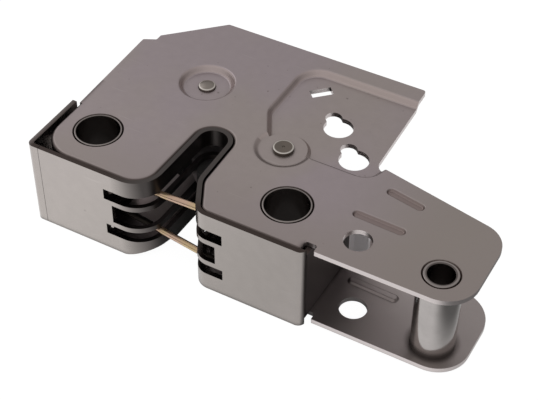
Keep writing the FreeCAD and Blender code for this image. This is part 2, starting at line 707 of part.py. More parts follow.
def make_claw():
    centre = CLAW_PIVOT
    striker = (SLOT_X, STRIKER_Y)
    nose_deg, _ = nose_place()
    notch_r = CLAW_CAM_R - CLAW_NOTCH_DEPTH
    flank = nose_deg + math.degrees(math.asin((NOSE_HALF_W + NOSE_CLEAR) / notch_r))
    cam_end = nose_deg + CLAW_SWING_DEG + CAM_RUN_ON_DEG
    arm_tip = polar(centre, CLAW_ARM_REACH, CLAW_ARM_DEG)
    hook_tip = (centre[0] + HOOK_TIP[0], centre[1] + HOOK_TIP[1])
    body = disc(centre, CLAW_HUB_R, STEEL_Z0, STEEL_Z1).fuse([
        sector(centre, notch_r, nose_deg - CLAW_NOTCH_SPAN_DEG, flank + 1.0),
        sector(centre, CLAW_CAM_R, flank, cam_end),
        link(centre, CLAW_HUB_R, arm_tip, CLAW_ARM_TIP_R, STEEL_Z0, STEEL_Z1),
        link(centre, CLAW_HUB_R, striker, CLAW_SPINE_R, STEEL_Z0, STEEL_Z1),
        link(striker, CLAW_SPINE_R, hook_tip, HOOK_TIP_R, STEEL_Z0, STEEL_Z1),
    ]).removeSplitter()
    body = body.cut(throat(striker))
    body = body.cut(disc(centre, PIN_R + RUNNING_CLEAR, STEEL_Z0 - 1, STEEL_Z1 + 1))
    body.rotate(vec(*centre), vec(0, 0, 1), -CLAW_SWING_DEG)
    return body


def pawl_lift_deg():
    """Turn that lifts the nose out of the notch onto the cam."""
    _, arm = nose_place()
    return math.degrees(CLAW_NOTCH_DEPTH / arm)


def make_pawl():
    hub = PAWL_PIVOT
    nose_deg, _ = nose_place()
    elbow = (hub[0] + PAWL_ELBOW[0], hub[1] + PAWL_ELBOW[1])
    end = (hub[0] + PAWL_END[0], hub[1] + PAWL_END[1])
    reach = CLAW_CAM_R - CLAW_NOTCH_DEPTH + NOSE_CLEAR
    nose = block(reach, reach + NOSE_LENGTH, -NOSE_HALF_W, NOSE_HALF_W, STEEL_Z0, STEEL_Z1)
    nose.rotate(vec(0, 0), vec(0, 0, 1), nose_deg)
    nose.translate(vec(*CLAW_PIVOT))
    body = disc(hub, PAWL_HUB_R, STEEL_Z0, STEEL_Z1).fuse([
        link(hub, PAWL_HUB_R - 1.0, elbow, PAWL_ELBOW_R, STEEL_Z0, STEEL_Z1),
        link(elbow, PAWL_ELBOW_R, end, PAWL_END_R - 0.001, STEEL_Z0, STEEL_Z1),
        nose,
    ]).removeSplitter()
    body = body.cut(disc(hub, PIN_R + RUNNING_CLEAR, STEEL_Z0 - 1, STEEL_Z1 + 1))
    body = body.cut(disc(end, CABLE_EYE_R, STEEL_Z0 - 1, STEEL_Z1 + 1))
    body.rotate(vec(*hub), vec(0, 0, 1), -pawl_lift_deg())
    return body


def helix_points(centre, radius, from_deg, to_deg, z, pitch):
    """Points down a winding, from z at from_deg, losing pitch for every turn."""
    span = to_deg - from_deg
    steps = max(2, int(abs(span) / 24.0))
    points = []
    for i in range(steps + 1):
        x, y = polar(centre, radius, from_deg + span * i / steps)
        points.append(vec(x, y, z - pitch * abs(span) * i / steps / 360.0))
    return points


def straight_points(start, end, count):
    return [start + (end - start) * (i / count) for i in range(1, count + 1)]


def bent_points(before, corner, after, radius):
    """Points round a bend at corner between two straight stretches."""
    back = before - corner
    ahead = after - corner
    back.normalize()
    ahead.normalize()
    points = []
    for i in range(5):
        t = i / 4.0
        points.append(corner + back * (radius * (1 - t) ** 2) + ahead * (radius * t ** 2))
    return points


def wire_body(points, wire_r):
    """Round wire along a smooth centreline through points."""
    curve = Part.BSplineCurve()
    curve.interpolate(points)
    path = Part.Wire(curve.toShape())
    heading = curve.tangent(curve.FirstParameter)[0]
    section = Part.Wire(Part.makeCircle(wire_r, points[0], heading))
    return path.makePipeShell([section], True, False)


def leg_start_deg(heading):
    """Angle on the coil where a leg with this heading leaves it."""
    return heading - 90.0


def winding(start_deg, turns, z, pitch):
    """Points down one winding of the pop-up spring, which ends on its right side."""
    return helix_points(LEFT_BUSH, LEG_COIL_R, start_deg, -360.0 * turns, z, pitch)


def make_popup_spring():
    """Both windings of the pop-up spring and the bow that joins them."""
    split = math.degrees(LEG_SPLIT / LEG_COIL_R)
    upper = winding(leg_start_deg(UPPER_LEG_DEG) - split, UPPER_TURNS, UPPER_LEG_Z, UPPER_PITCH)
    lower = winding(leg_start_deg(LOWER_LEG_DEG) - split, LOWER_TURNS, LOWER_LEG_Z, LOWER_PITCH)
    top, low = upper[-1], lower[-1]
    top_corner, low_corner = vec(top.x, BOW_Y, top.z), vec(low.x, BOW_Y, low.z)
    down = vec(0, 0, -BOW_BEND_R)
    inward = vec(0, BOW_BEND_R, 0)
    bow = [top] + straight_points(top, top_corner + inward, 3)
    bow += bent_points(top, top_corner, low_corner, BOW_BEND_R)[1:]
    bow += straight_points(top_corner + down, low_corner - down, 3)[:-1]
    bow += bent_points(top_corner, low_corner, low, BOW_BEND_R)
    bow += straight_points(low_corner + inward, low, 3)
    joints = [Part.makeSphere(LEG_WIRE_R * JOINT_SWELL, end) for end in (top, low)]
    parts = [wire_body(lower, LEG_WIRE_R), wire_body(bow, LEG_WIRE_R)] + joints
    return wire_body(upper, LEG_WIRE_R).fuse(parts)


def make_upper_leg():
    start = vec(*polar(LEFT_BUSH, LEG_COIL_R, leg_start_deg(UPPER_LEG_DEG)), UPPER_LEG_Z)
    end = vec(LEG_TIP_X, start.y + (LEG_TIP_X - start.x) * math.tan(math.radians(UPPER_LEG_DEG)), start.z)
    return Part.makeCylinder(LEG_WIRE_R, (end - start).Length, start, end - start)


def make_lower_leg():
    start = vec(*polar(LEFT_BUSH, LEG_COIL_R, leg_start_deg(LOWER_LEG_DEG)), LOWER_LEG_Z)
    crank = vec(*LEG_CRANK, LOWER_LEG_Z)
    end = vec(LEG_TIP_X, LOWER_TIP_Y, LOWER_TIP_Z)
    first = Part.makeCylinder(LEG_WIRE_R, (crank - start).Length, start, crank - start)
    second = Part.makeCylinder(LEG_WIRE_R, (end - crank).Length, crank, end - crank)
    return first.fuse([second, Part.makeSphere(LEG_WIRE_R, crank)]).removeSplitter()


def make_return_spring(pivot, foot, end, turns_sign):
    """Torsion spring on a lower sleeve, a foot at the bottom and an arm at the top."""
    def tangent_deg(target, side):
        dx, dy = target[0] - pivot[0], target[1] - pivot[1]
        away = math.degrees(math.acos(RETURN_COIL_R / math.hypot(dx, dy)))
        return math.degrees(math.atan2(dy, dx)) + side * away

    foot_deg = tangent_deg(foot, turns_sign)
    end_deg = tangent_deg(end, -turns_sign)
    while turns_sign * (end_deg - foot_deg) < 360.0 * (RETURN_TURNS - 1):
        end_deg += turns_sign * 360.0
    low = helix_points(pivot, RETURN_COIL_R, foot_deg, end_deg, RETURN_LOW_Z, -RETURN_PITCH)
    joints = [Part.makeSphere(RETURN_WIRE_R * JOINT_SWELL, end) for end in (low[0], low[-1])]
    legs = []
    for near, far in ((low[0], foot), (low[-1], end)):
        tip = vec(*far, near.z)
        legs.append(Part.makeCylinder(RETURN_WIRE_R, (tip - near).Length, near, tip - near))
    return wire_body(low, RETURN_WIRE_R).fuse(joints + legs)


def export(name, shape):
    shape.exportStep(os.path.join("parts", name + ".step"))


def main():
    os.makedirs("parts", exist_ok=True)
    wall = make_wall()
    export("side_wall", make_side_wall(wall))
    export("front_band", make_front_band(wall))
    export("top_plate", make_top_plate())
    export("bottom_plate", make_bottom_plate())
    export("bush_left", make_bush(LEFT_BUSH, BUSH_BORE_R, BUSH_NECK_R, BUSH_BODY_R))
    export("bush_middle", make_bush(MIDDLE_BUSH, BUSH_BORE_R, BUSH_NECK_R, BUSH_BODY_R))
    export("bush_arm", make_bush(ARM_BUSH, ARM_BUSH_BORE_R, ARM_BUSH_NECK_R, ARM_BUSH_BODY_R))
    pins = (
        ("claw", CLAW_PIVOT, PRESS_DEPTH, claw_head()),
        ("pawl", PAWL_PIVOT, PAWL_RECESS_DEPTH, pawl_head()),
    )
    for name, pivot, depth, head in pins:
        export(name + "_pin", make_pin(pivot, depth, head))
        export(name + "_sleeve_upper", make_sleeve(pivot, depth, True))
        export(name + "_sleeve_lower", make_sleeve(pivot, depth, False))
    export("claw", make_claw())
    export("pawl", make_pawl())
    export("popup_spring", make_popup_spring())
    export("popup_leg_upper", make_upper_leg())
    export("popup_leg_lower", make_lower_leg())
    export("claw_spring", make_return_spring(CLAW_PIVOT, CLAW_SPRING_FOOT, CLAW_SPRING_END, 1))
    export("pawl_spring", make_return_spring(PAWL_PIVOT, PAWL_SPRING_FOOT, PAWL_SPRING_END, -1))


main()
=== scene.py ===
import math

import bpy
from mathutils import Matrix, Vector


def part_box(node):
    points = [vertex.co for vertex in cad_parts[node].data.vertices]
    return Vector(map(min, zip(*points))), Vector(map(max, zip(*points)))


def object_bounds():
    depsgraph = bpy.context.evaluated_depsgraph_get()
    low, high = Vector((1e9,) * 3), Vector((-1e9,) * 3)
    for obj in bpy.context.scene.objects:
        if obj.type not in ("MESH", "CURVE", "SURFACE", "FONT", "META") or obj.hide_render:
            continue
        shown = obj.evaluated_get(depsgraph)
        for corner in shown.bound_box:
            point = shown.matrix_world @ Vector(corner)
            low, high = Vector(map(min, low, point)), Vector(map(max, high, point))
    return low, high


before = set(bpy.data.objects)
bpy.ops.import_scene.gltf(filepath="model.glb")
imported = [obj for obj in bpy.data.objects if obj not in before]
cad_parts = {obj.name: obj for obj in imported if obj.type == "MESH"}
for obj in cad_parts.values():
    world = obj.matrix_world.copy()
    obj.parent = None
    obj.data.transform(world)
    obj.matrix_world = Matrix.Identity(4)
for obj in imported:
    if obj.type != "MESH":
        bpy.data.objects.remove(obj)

CAD_LOW, CAD_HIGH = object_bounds()

bl_info = {
    "name": "Bonnet Latch Finishes",
    "version": (1, 0, 0),
    "blender": (4, 5, 0),
    "location": "3D View > Sidebar > Latch",
    "description": "Finishes the pressed-steel bonnet latch and lights it for a product picture",
    "category": "Object",
}

MM = 0.001

# Pieces that share a finish
BAND = ("side_wall", "front_band")
SLEEVES = ("claw_sleeve_upper", "claw_sleeve_lower", "pawl_sleeve_upper", "pawl_sleeve_lower")
POPUP_WIRES = ("popup_spring", "popup_leg_upper", "popup_leg_lower")
RETURN_WIRES = ("claw_spring", "pawl_spring")

# Colours that lie over the plates' base colour; the top plate's pale underside and the bottom plate's paler
# colours are painted light
PLATE_SHADES = {
    "top_plate": {
        "arm": (0.335, 0.300, 0.275, 1.0),
        "front": (0.325, 0.285, 0.275, 1.0),
        "underside": (0.80, 0.76, 0.77, 1.0),
    },
    "bottom_plate": {
        "arm": (0.46, 0.42, 0.415, 1.0),
        "front": (0.46, 0.42, 0.40, 1.0),
        "underside": (0.46, 0.42, 0.415, 1.0),
    },
}
# Painted shade on the lower arm's tip
ARM_TIP_PAINTED_SHADE = (0.27, 0.24, 0.235, 1.0)
# Painted highlight on the pressings' bends, and painted shade on the beads' floors and lower slopes
BEND_PAINTED_HIGHLIGHT = (0.54, 0.455, 0.435, 1.0)
BEAD_FLOOR_PAINTED_SHADE = (0.235, 0.175, 0.165, 1.0)
BEAD_SLOPE_PAINTED_SHADE = (0.15, 0.12, 0.118, 1.0)

# Painted shade in recesses and close to other parts, on the rolled edges, at the arm bush's foot, on the slot
# walls and on the pop-up coil; and dirt specks
HOLLOW_PAINTED_SHADE = (0.085, 0.078, 0.077, 1.0)
ROLL_PAINTED_SHADE = (0.075, 0.060, 0.056, 1.0)
FOOT_PAINTED_SHADOW = (0.10, 0.085, 0.08, 1.0)
SLOT_PAINTED_SHADE = (0.085, 0.076, 0.073, 1.0)
COIL_PAINTED_SHADE = (0.035, 0.03, 0.026, 1.0)
SPECK = (0.12, 0.10, 0.09, 1.0)

# Scratches; a painted highlight on the pin heads; painted shade on the bush ends and bevels; the side wall's
# top edge, paler than the band's painted shade; painted light on the band's lip; and the turned pieces'
# darker clouds, draw marks, crystals and rubbed skin
SCRATCH = (0.62, 0.58, 0.56, 1.0)
HEAD_PAINTED_HIGHLIGHT = (0.62, 0.59, 0.55, 1.0)
BUSH_END_PAINTED_SHADE = (0.30, 0.272, 0.262, 1.0)
BUSH_BEVEL_PAINTED_SHADE = (0.12, 0.105, 0.10, 1.0)
SIDE_EDGE = (0.18, 0.158, 0.152, 1.0)
LIP_PAINTED_LIGHT = (0.97, 0.95, 0.97, 1.0)
TURNED_SHADE = (0.12, 0.11, 0.10, 1.0)
DRAW_MARK = (0.2, 0.15, 0.1, 1.0)
CRYSTAL = (0.5, 0.5, 0.5, 1.0)
RUBBED_SKIN = (0.34, 0.33, 0.32, 1.0)

# Places on the plates, in millimetres; a pair is where a shade starts and where it is full,
# but for the beads' floors their lowest and highest point
ARM_X = (82.0, 125.0)
ARM_TIP_X = (115.0, 138.0)
FRONT_Y = (12.0, -16.0)
LOWER_HALF_Z = 10.0
BEADS_X = 93.5
BEAD_FLOOR_Z = {"top_plate": (33.0, 34.2), "bottom_plate": (1.0, 2.2)}
ROLL_X = 88.1
ROLL_Y = 24.0
ROLL_SHADE_REACH = 3.4
BUSH_RING_R = 10.8
PAWL_SEAT_R = 11.5

# Places on the band, in millimetres, and how far the left jaw's painted shade leans with height
LIP_X = 90.7
LEFT_JAW_X = (20.0, 31.2)
JAW_SLANT = 0.1
SLOT_MIDDLE_X = 37.4
RIGHT_JAW_X = 52.0
RIGHT_JAW_Y = (-16.5, -11.0)
SIDE_EDGE_X = (-14.8, -17.2)

# Radii and places on the turned pieces, in millimetres, as pairs where a shade starts and is full, and the
# two places along the latch between which the pop-up wire has no painted shade
BUSH_BEVEL_R = {"bush_left": (8.0, 7.75), "bush_middle": (8.0, 7.75), "bush_arm": (5.2, 4.9)}
PIN_HEAD_R = {"claw_pin": 3.1, "pawl_pin": 3.7}
FOOT_Z = (6.5, 3.5)
FOOT_R = (10.0, 7.4)
FOOT_CORE_R = 6.5
UNSHADED_WIRE_X = (29.5, 47.0)

# The stage: colours, the camera's sensor in millimetres and the floor's half size and middle in metres
WHITE = (1.0, 1.0, 1.0, 1.0)
SKY = (0.735, 0.713, 0.70, 1.0)
HORIZON = (0.03, 0.028, 0.027, 1.0)
SENSOR_WIDTH = 36.0
FLOOR_HALF = 3.0
FLOOR_MIDDLE = (0.06, 0.0, 0.0)

# The floor's plain white: its strength, and its share of what the camera sees beside the shaded paper
WHITE_GLOW = 1.1
WHITE_SHARE = 0.88

# Where the floor darkens in the metal, in millimetres: to the right, past the arm, and far out
FLOOR_FADE_X = (-20.0, 80.0)
ARM_FADE_X = (132.0, 160.0)
FLOOR_FADE_R = (110.0, 260.0)


# Node helpers

def add(tree, kind, **settings):
    """A new node with its settings and, by socket name or number, its inputs."""
    made = tree.nodes.new(kind)
    inputs = settings.pop("inputs", {})
    for name, value in settings.items():
        setattr(made, name, value)
    for name, value in inputs.items():
        feed(tree, made, name, value)
    return made


def feed(tree, target, name, value):
    """Link an output socket, or set a plain value, on the input called name."""
    socket = target.inputs[name]
    if isinstance(value, bpy.types.NodeSocket):
        tree.links.new(value, socket)
    else:
        socket.default_value = value


def math_node(tree, operation, *values):
    made = add(tree, "ShaderNodeMath", operation=operation)
    for number, value in enumerate(values):
        feed(tree, made, number, value)
    return made.outputs[0]


def scaled(tree, value, factor):
    return math_node(tree, "MULTIPLY", value, factor)


def above(tree, value, limit):
    """Mask that is 1 where value is more than limit."""
    return math_node(tree, "GREATER_THAN", value, limit)


def below(tree, value, limit):
    """Mask that is 1 where value is less than limit."""
    return math_node(tree, "LESS_THAN", value, limit)


def all_of(tree, *masks):
    """Product of masks and strengths."""
    together = masks[0]
    for mask in masks[1:]:
        together = scaled(tree, together, mask)
    return together


def ramp(tree, value, start, full):
    """Smooth mask that is 0 at start and 1 at full, whichever of them is more."""
    made = add(tree, "ShaderNodeMapRange", interpolation_type="SMOOTHSTEP", inputs={
        "Value": value, "From Min": start, "From Max": full,
    })
    return made.outputs["Result"]


def ramp_mm(tree, value, span):
    """Smooth mask over a pair of places in millimetres."""
    return ramp(tree, value, span[0] * MM, span[1] * MM)


def dimming(tree, value, span, loss):
    """Factor that falls from 1 by loss over a pair of places in millimetres."""
    return math_node(tree, "MULTIPLY_ADD", ramp_mm(tree, value, span), -loss, 1.0)


def mix_color(tree, factor, first, second, blend="MIX"):
    made = add(tree, "ShaderNodeMix", data_type="RGBA", blend_type=blend)
    feed(tree, made, 0, factor)
    feed(tree, made, 6, first)
    feed(tree, made, 7, second)
    return made.outputs[2]


def mix_value(tree, factor, first, second):
    return add(tree, "ShaderNodeMix", data_type="FLOAT", inputs={0: factor, 2: first, 3: second}).outputs[0]


def mix_shader(tree, factor, first, second):
    return add(tree, "ShaderNodeMixShader", inputs={0: factor, 1: first, 2: second}).outputs[0]


def noise(tree, vector, scale, detail=2.0, roughness=0.5):
    made = add(tree, "ShaderNodeTexNoise", inputs={
        "Vector": vector, "Scale": scale, "Detail": detail, "Roughness": roughness,
    })
    return made.outputs["Fac"]


def stretched_noise(tree, place, scales, detail, roughness=0.5):
    """Noise with its own scale along each axis."""
    stretched = add(tree, "ShaderNodeMapping", inputs={"Vector": place, "Scale": scales})
    return noise(tree, stretched.outputs["Vector"], 1.0, detail, roughness)


def place_on(tree):
    """Place of a point in the latch's frame, in metres."""
    return add(tree, "ShaderNodeTexCoord").outputs["Object"]


def axes_of(tree, vector):
    """The X, Y and Z outputs of a vector."""
    return add(tree, "ShaderNodeSeparateXYZ", inputs={0: vector}).outputs


def facing_of(tree, kind):
    """Axes of a point's Normal, which is smooth, or its True Normal, the face's own."""
    return axes_of(tree, add(tree, "ShaderNodeNewGeometry").outputs[kind])


def level_of(tree):
    """1 where the smooth surface lies flat, either way up, and 0 where it stands."""
    return math_node(tree, "ABSOLUTE", facing_of(tree, "Normal")["Z"])


def vector_node(tree, operation, *values):
    made = add(tree, "ShaderNodeVectorMath", operation=operation)
    for number, value in enumerate(values):
        feed(tree, made, number, value)
    return made.outputs["Value" if operation == "LENGTH" else "Vector"]


def away_from(tree, node):
    """Distance of a point from the upright axis through the middle of a CAD node, in metres."""
    low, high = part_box(node)
    shifted = vector_node(tree, "SUBTRACT", place_on(tree), (low + high) / 2.0)
    return vector_node(tree, "LENGTH", vector_node(tree, "MULTIPLY", shifted, (1.0, 1.0, 0.0)))


def openness(tree, reach, only_local=False):
    """How open a point is within reach in metres: 1 in the open and 0 in a closed corner."""
    made = add(tree, "ShaderNodeAmbientOcclusion", samples=8, only_local=only_local)
    feed(tree, made, "Distance", reach)
    return made.outputs["AO"]


def parts_of(material):
    """The node tree of a material and its Principled BSDF."""
    return material.node_tree, material.node_tree.nodes["Principled BSDF"]


def overlaid(tree, shader, name, factor, value):
    """Lay a plain colour or value over what already feeds an input of the shader."""
    socket = shader.inputs[name]
    carried = socket.links[0].from_socket if socket.links else socket.default_value
    mix = mix_color if isinstance(value, tuple) else mix_value
    feed(tree, shader, name, mix(tree, factor, carried, value))


# Shared surface effects

def new_group(name, inputs):
    """Empty shader group with inputs (name, type, default) and outputs for colour, roughness and normal."""
    tree = bpy.data.node_groups.new(name, "ShaderNodeTree")
    for label, kind, default in inputs:
        socket = tree.interface.new_socket(label, in_out="INPUT", socket_type="NodeSocket" + kind)
        socket.default_value = default
    for label, kind in (("Color", "Color"), ("Roughness", "Float"), ("Normal", "Vector")):
        tree.interface.new_socket(label, in_out="OUTPUT", socket_type="NodeSocket" + kind)
    return tree, add(tree, "NodeGroupInput").outputs, add(tree, "NodeGroupOutput")


def put_out(tree, sink, color, rough, relief, strength, depth):
    """Feed a group's outputs; the relief is a bump of this strength and depth in metres."""
    bump = add(tree, "ShaderNodeBump", inputs={"Strength": strength, "Distance": depth, "Height": relief})
    feed(tree, sink, "Color", color)
    feed(tree, sink, "Roughness", rough)
    feed(tree, sink, "Normal", bump.outputs["Normal"])


def build_sheet(name):
    """Cold-rolled sheet: cloudy tint, rolling grain, scratches, specks, bare cut edges, and painted shade in
    recesses and close to other parts.
    """
    tree, source, sink = new_group(name, [
        ("Base", "Color", (0.4, 0.37, 0.36, 1.0)),
        ("Tint", "Color", (0.4, 0.36, 0.39, 1.0)),
        ("Cut Edge", "Color", (0.6, 0.56, 0.54, 1.0)),
        ("Hollow", "Color", HOLLOW_PAINTED_SHADE),
        ("Roughness", "Float", 0.35),
        ("Grain", "Float", 0.5),
        ("Upright Edges", "Float", 1.0),
    ])
    place = place_on(tree)
    clouds = ramp(tree, noise(tree, place, scale=22.0), 0.35, 0.65)
    mottle = noise(tree, place, scale=260.0, detail=4.0, roughness=0.6)
    grain = stretched_noise(tree, place, (300.0, 4200.0, 2400.0), detail=3.0)
    streaks = stretched_noise(tree, place, (60.0, 1500.0, 900.0), detail=1.0)
    scratches = ramp(tree, streaks, 0.72, 0.78)
    specks = ramp(tree, noise(tree, place, scale=700.0, detail=0.0), 0.84, 0.88)
    level = math_node(tree, "ABSOLUTE", facing_of(tree, "True Normal")["Z"])
    lying, standing = ramp(tree, level, 0.35, 0.65), ramp(tree, level, 0.65, 0.35)
    cut = mix_value(tree, source["Upright Edges"], lying, standing)
    # Painted shade from ambient occlusion: darker in the piece's own recesses, and darker still right next to
    # any other part
    recess_shade = ramp(tree, openness(tree, 0.06, only_local=True), 0.8, 0.42)
    contact_shadow = ramp(tree, openness(tree, 0.0022), 0.95, 0.35)
    color = mix_color(tree, clouds, source["Base"], source["Tint"])
    shade = math_node(tree, "MULTIPLY_ADD", mottle, 0.14, 0.93)
    color = mix_color(tree, 1.0, color, shade, "MULTIPLY")
    color = mix_color(tree, scaled(tree, scratches, 0.18), color, SCRATCH)
    color = mix_color(tree, scaled(tree, specks, 0.5), color, SPECK)
    color = mix_color(tree, cut, color, source["Cut Edge"])
    color = mix_color(tree, scaled(tree, contact_shadow, 0.75), color, source["Hollow"])
    color = mix_color(tree, recess_shade, color, source["Hollow"])
    rough = math_node(tree, "MULTIPLY_ADD", mottle, 0.10, source["Roughness"])
    rough = math_node(tree, "MULTIPLY_ADD", grain, 0.06, rough)
    relief = math_node(tree, "SUBTRACT", scaled(tree, grain, source["Grain"]), scaled(tree, scratches, 0.6))
    put_out(tree, sink, color, rough, relief, strength=0.12, depth=0.00004)


def build_turned(name):
    """Turned or drawn steel: fine rings round the upright axis and a cloudy tint."""
    tree, source, sink = new_group(name, [
        ("Base", "Color", (0.4, 0.38, 0.37, 1.0)),
        ("Dark", "Color", (0.2, 0.19, 0.18, 1.0)),
        ("Roughness", "Float", 0.3),
        ("Clouds", "Float", 0.35),
    ])
    place = place_on(tree)
    rings = stretched_noise(tree, place, (20.0, 20.0, 5200.0), detail=3.0, roughness=0.7)
    clouds = ramp(tree, noise(tree, place, scale=160.0, detail=3.0), 0.35, 0.7)
    cloudy = scaled(tree, clouds, source["Clouds"])
    color = mix_color(tree, cloudy, source["Base"], source["Dark"])
    color = mix_color(tree, scaled(tree, rings, 0.10), color, source["Dark"])
    rough = math_node(tree, "MULTIPLY_ADD", cloudy, 0.3, source["Roughness"])
    put_out(tree, sink, color, rough, rings, strength=0.06, depth=0.00003)


def build_wire(name):
    """Drawn spring wire: a film whose colour drifts, draw marks, and painted shade outside a given stretch
    along X.
    """
    tree, source, sink = new_group(name, [
        ("Base", "Color", (0.6, 0.45, 0.25, 1.0)),
        ("Drift", "Color", (0.55, 0.38, 0.32, 1.0)),
        ("Film", "Float", 0.6),
        ("Roughness", "Float", 0.25),
        ("Bare From", "Float", -1.0),
        ("Bare To", "Float", 1.0),
    ])
    place = place_on(tree)
    drift = ramp(tree, noise(tree, place, scale=130.0), 0.38, 0.62)
    marks = stretched_noise(tree, place, (90.0, 3000.0, 3000.0), detail=2.0)
    color = mix_color(tree, scaled(tree, drift, source["Film"]), source["Base"], source["Drift"])
    color = mix_color(tree, scaled(tree, marks, 0.12), color, DRAW_MARK)
    along = axes_of(tree, place)["X"]
    before, after = below(tree, along, source["Bare From"]), above(tree, along, source["Bare To"])
    coil_shade = math_node(tree, "MAXIMUM", before, after)
    color = mix_color(tree, coil_shade, color, COIL_PAINTED_SHADE)
    rough = math_node(tree, "MULTIPLY_ADD", marks, 0.12, source["Roughness"])
    rough = math_node(tree, "MULTIPLY_ADD", coil_shade, 0.2, rough)
    put_out(tree, sink, color, rough, marks, strength=0.12, depth=0.00004)


def build_phosphate(name):
    """Blanked and phosphated steel: dark crystalline skin, paler where it rubs."""
    tree, source, sink = new_group(name, [
        ("Base", "Color", (0.12, 0.12, 0.12, 1.0)),
        ("Rubbed", "Color", (0.35, 0.34, 0.33, 1.0)),
        ("Roughness", "Float", 0.45),
    ])
    place = place_on(tree)
    cells = add(tree, "ShaderNodeTexVoronoi", inputs={"Vector": place, "Scale": 2600.0})
    crystals = cells.outputs["Distance"]
    rub = ramp(tree, noise(tree, place, scale=120.0, detail=4.0, roughness=0.7), 0.55, 0.75)
    color = mix_color(tree, rub, source["Base"], source["Rubbed"])
    color = mix_color(tree, scaled(tree, crystals, 0.25), color, CRYSTAL)
    rough = math_node(tree, "MULTIPLY_ADD", crystals, 0.15, source["Roughness"])
    put_out(tree, sink, color, rough, crystals, strength=0.2, depth=0.00005)


GROUP_BUILDERS = {
    "Rolled Sheet": build_sheet,
    "Turned Steel": build_turned,
    "Drawn Wire": build_wire,
    "Phosphated Steel": build_phosphate,
}


def steel(name, group, **values):
    """Metal material whose colour, roughness and normal come from a shared group with these values."""
    if group not in bpy.data.node_groups:
        GROUP_BUILDERS[group](group)
    made = bpy.data.materials.new(name)
    made.use_nodes = True
    tree, shader = parts_of(made)
    shader.inputs["Metallic"].default_value = 1.0
    effect = add(tree, "ShaderNodeGroup", node_tree=bpy.data.node_groups[group])
    for label, value in values.items():
        feed(tree, effect, label.replace("_", " ").title(), value)
    for label, socket in (("Color", "Base Color"), ("Roughness", "Roughness"), ("Normal", "Normal")):
        feed(tree, shader, socket, effect.outputs[label])
    return made


def turned_steel(name, base, **values):
    return steel(name, "Turned Steel", base=base, dark=TURNED_SHADE, **values)


def finish(names, material):
    """Give CAD nodes this material in place of their plain one."""
    for name in names:
        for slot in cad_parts[name].material_slots:
            slot.material = material


# Painted light and shade, and colour shifts, on single pieces

def highlight_head(material, pin, radius):
    """Painted highlight: a bright ring round the edge of a pin's riveted head."""
    tree, shader = parts_of(material)
    away = away_from(tree, pin)
    rise, fall = (0.80 * radius, 0.90 * radius), (radius, 0.97 * radius)
    ring = scaled(tree, ramp_mm(tree, away, rise), ramp_mm(tree, away, fall))
    overlaid(tree, shader, "Base Color", ring, HEAD_PAINTED_HIGHLIGHT)


def darken_rim(material, bush, bevel):
    """Painted shade: darker end faces on a bush, darker still on the bevel round its bore."""
    tree, shader = parts_of(material)
    ending = above(tree, level_of(tree), 0.2)
    overlaid(tree, shader, "Base Color", ending, BUSH_END_PAINTED_SHADE)
    rim = scaled(tree, ramp_mm(tree, away_from(tree, bush), bevel), ending)
    overlaid(tree, shader, "Base Color", rim, BUSH_BEVEL_PAINTED_SHADE)


def shadow_bush_foot(material):
    """Painted shadow on the lowest millimetres of the arm's bush and on the plate close round it."""
    tree, shader = parts_of(material)
    away = away_from(tree, "bush_arm")
    foot = all_of(
        tree,
        ramp_mm(tree, axes_of(tree, place_on(tree))["Z"], FOOT_Z),
        ramp_mm(tree, away, FOOT_R),
        above(tree, away, FOOT_CORE_R * MM),
        0.75,
    )
    overlaid(tree, shader, "Base Color", foot, FOOT_PAINTED_SHADOW)
    overlaid(tree, shader, "Roughness", foot, 0.4)


def shade_plate(material, arm, front, underside):
    """Shift a plate's colour along its arm and at its front edge on its upper faces, with painted shade on
    the lower arm's tip, and colour the underside along the arm, which on the top plate is painted light.
    """
    tree, shader = parts_of(material)
    place = axes_of(tree, place_on(tree))
    facing = facing_of(tree, "True Normal")["Z"]
    upward = above(tree, facing, 0.5)
    along = ramp_mm(tree, place["X"], ARM_X)
    tip = scaled(tree, ramp_mm(tree, place["X"], ARM_TIP_X), below(tree, place["Z"], LOWER_HALF_Z * MM))
    near_front = ramp_mm(tree, place["Y"], FRONT_Y)
    overlaid(tree, shader, "Base Color", all_of(tree, along, upward, 0.8), arm)
    overlaid(tree, shader, "Base Color", all_of(tree, near_front, upward, 0.55), front)
    overlaid(tree, shader, "Base Color", all_of(tree, tip, upward, 0.45), ARM_TIP_PAINTED_SHADE)
    overlaid(tree, shader, "Base Color", scaled(tree, below(tree, facing, -0.5), along), underside)


def light_and_shade_pressings(material, floor_z):
    """Painted highlight on the big pressings' bends, and painted shade on the floors and lower slopes of the
    arm's beads.
    """
    tree, shader = parts_of(material)
    place = axes_of(tree, place_on(tree))
    level = level_of(tree)
    pressed = above(tree, level, 0.45)
    on_arm = scaled(tree, above(tree, place["X"], BEADS_X * MM), pressed)
    bends = all_of(tree, ramp(tree, level, 0.97, 0.80), pressed, below(tree, place["X"], BEADS_X * MM), 0.6)
    overlaid(tree, shader, "Base Color", bends, BEND_PAINTED_HIGHLIGHT)
    sunk = all_of(
        tree, on_arm, above(tree, place["Z"], floor_z[0] * MM), below(tree, place["Z"], floor_z[1] * MM), 0.6,
    )
    overlaid(tree, shader, "Base Color", sunk, BEAD_FLOOR_PAINTED_SHADE)
    slopes = all_of(
        tree, ramp(tree, level, 0.995, 0.90), on_arm, below(tree, place["Z"], LOWER_HALF_Z * MM), 0.45,
    )
    overlaid(tree, shader, "Base Color", slopes, BEAD_SLOPE_PAINTED_SHADE)


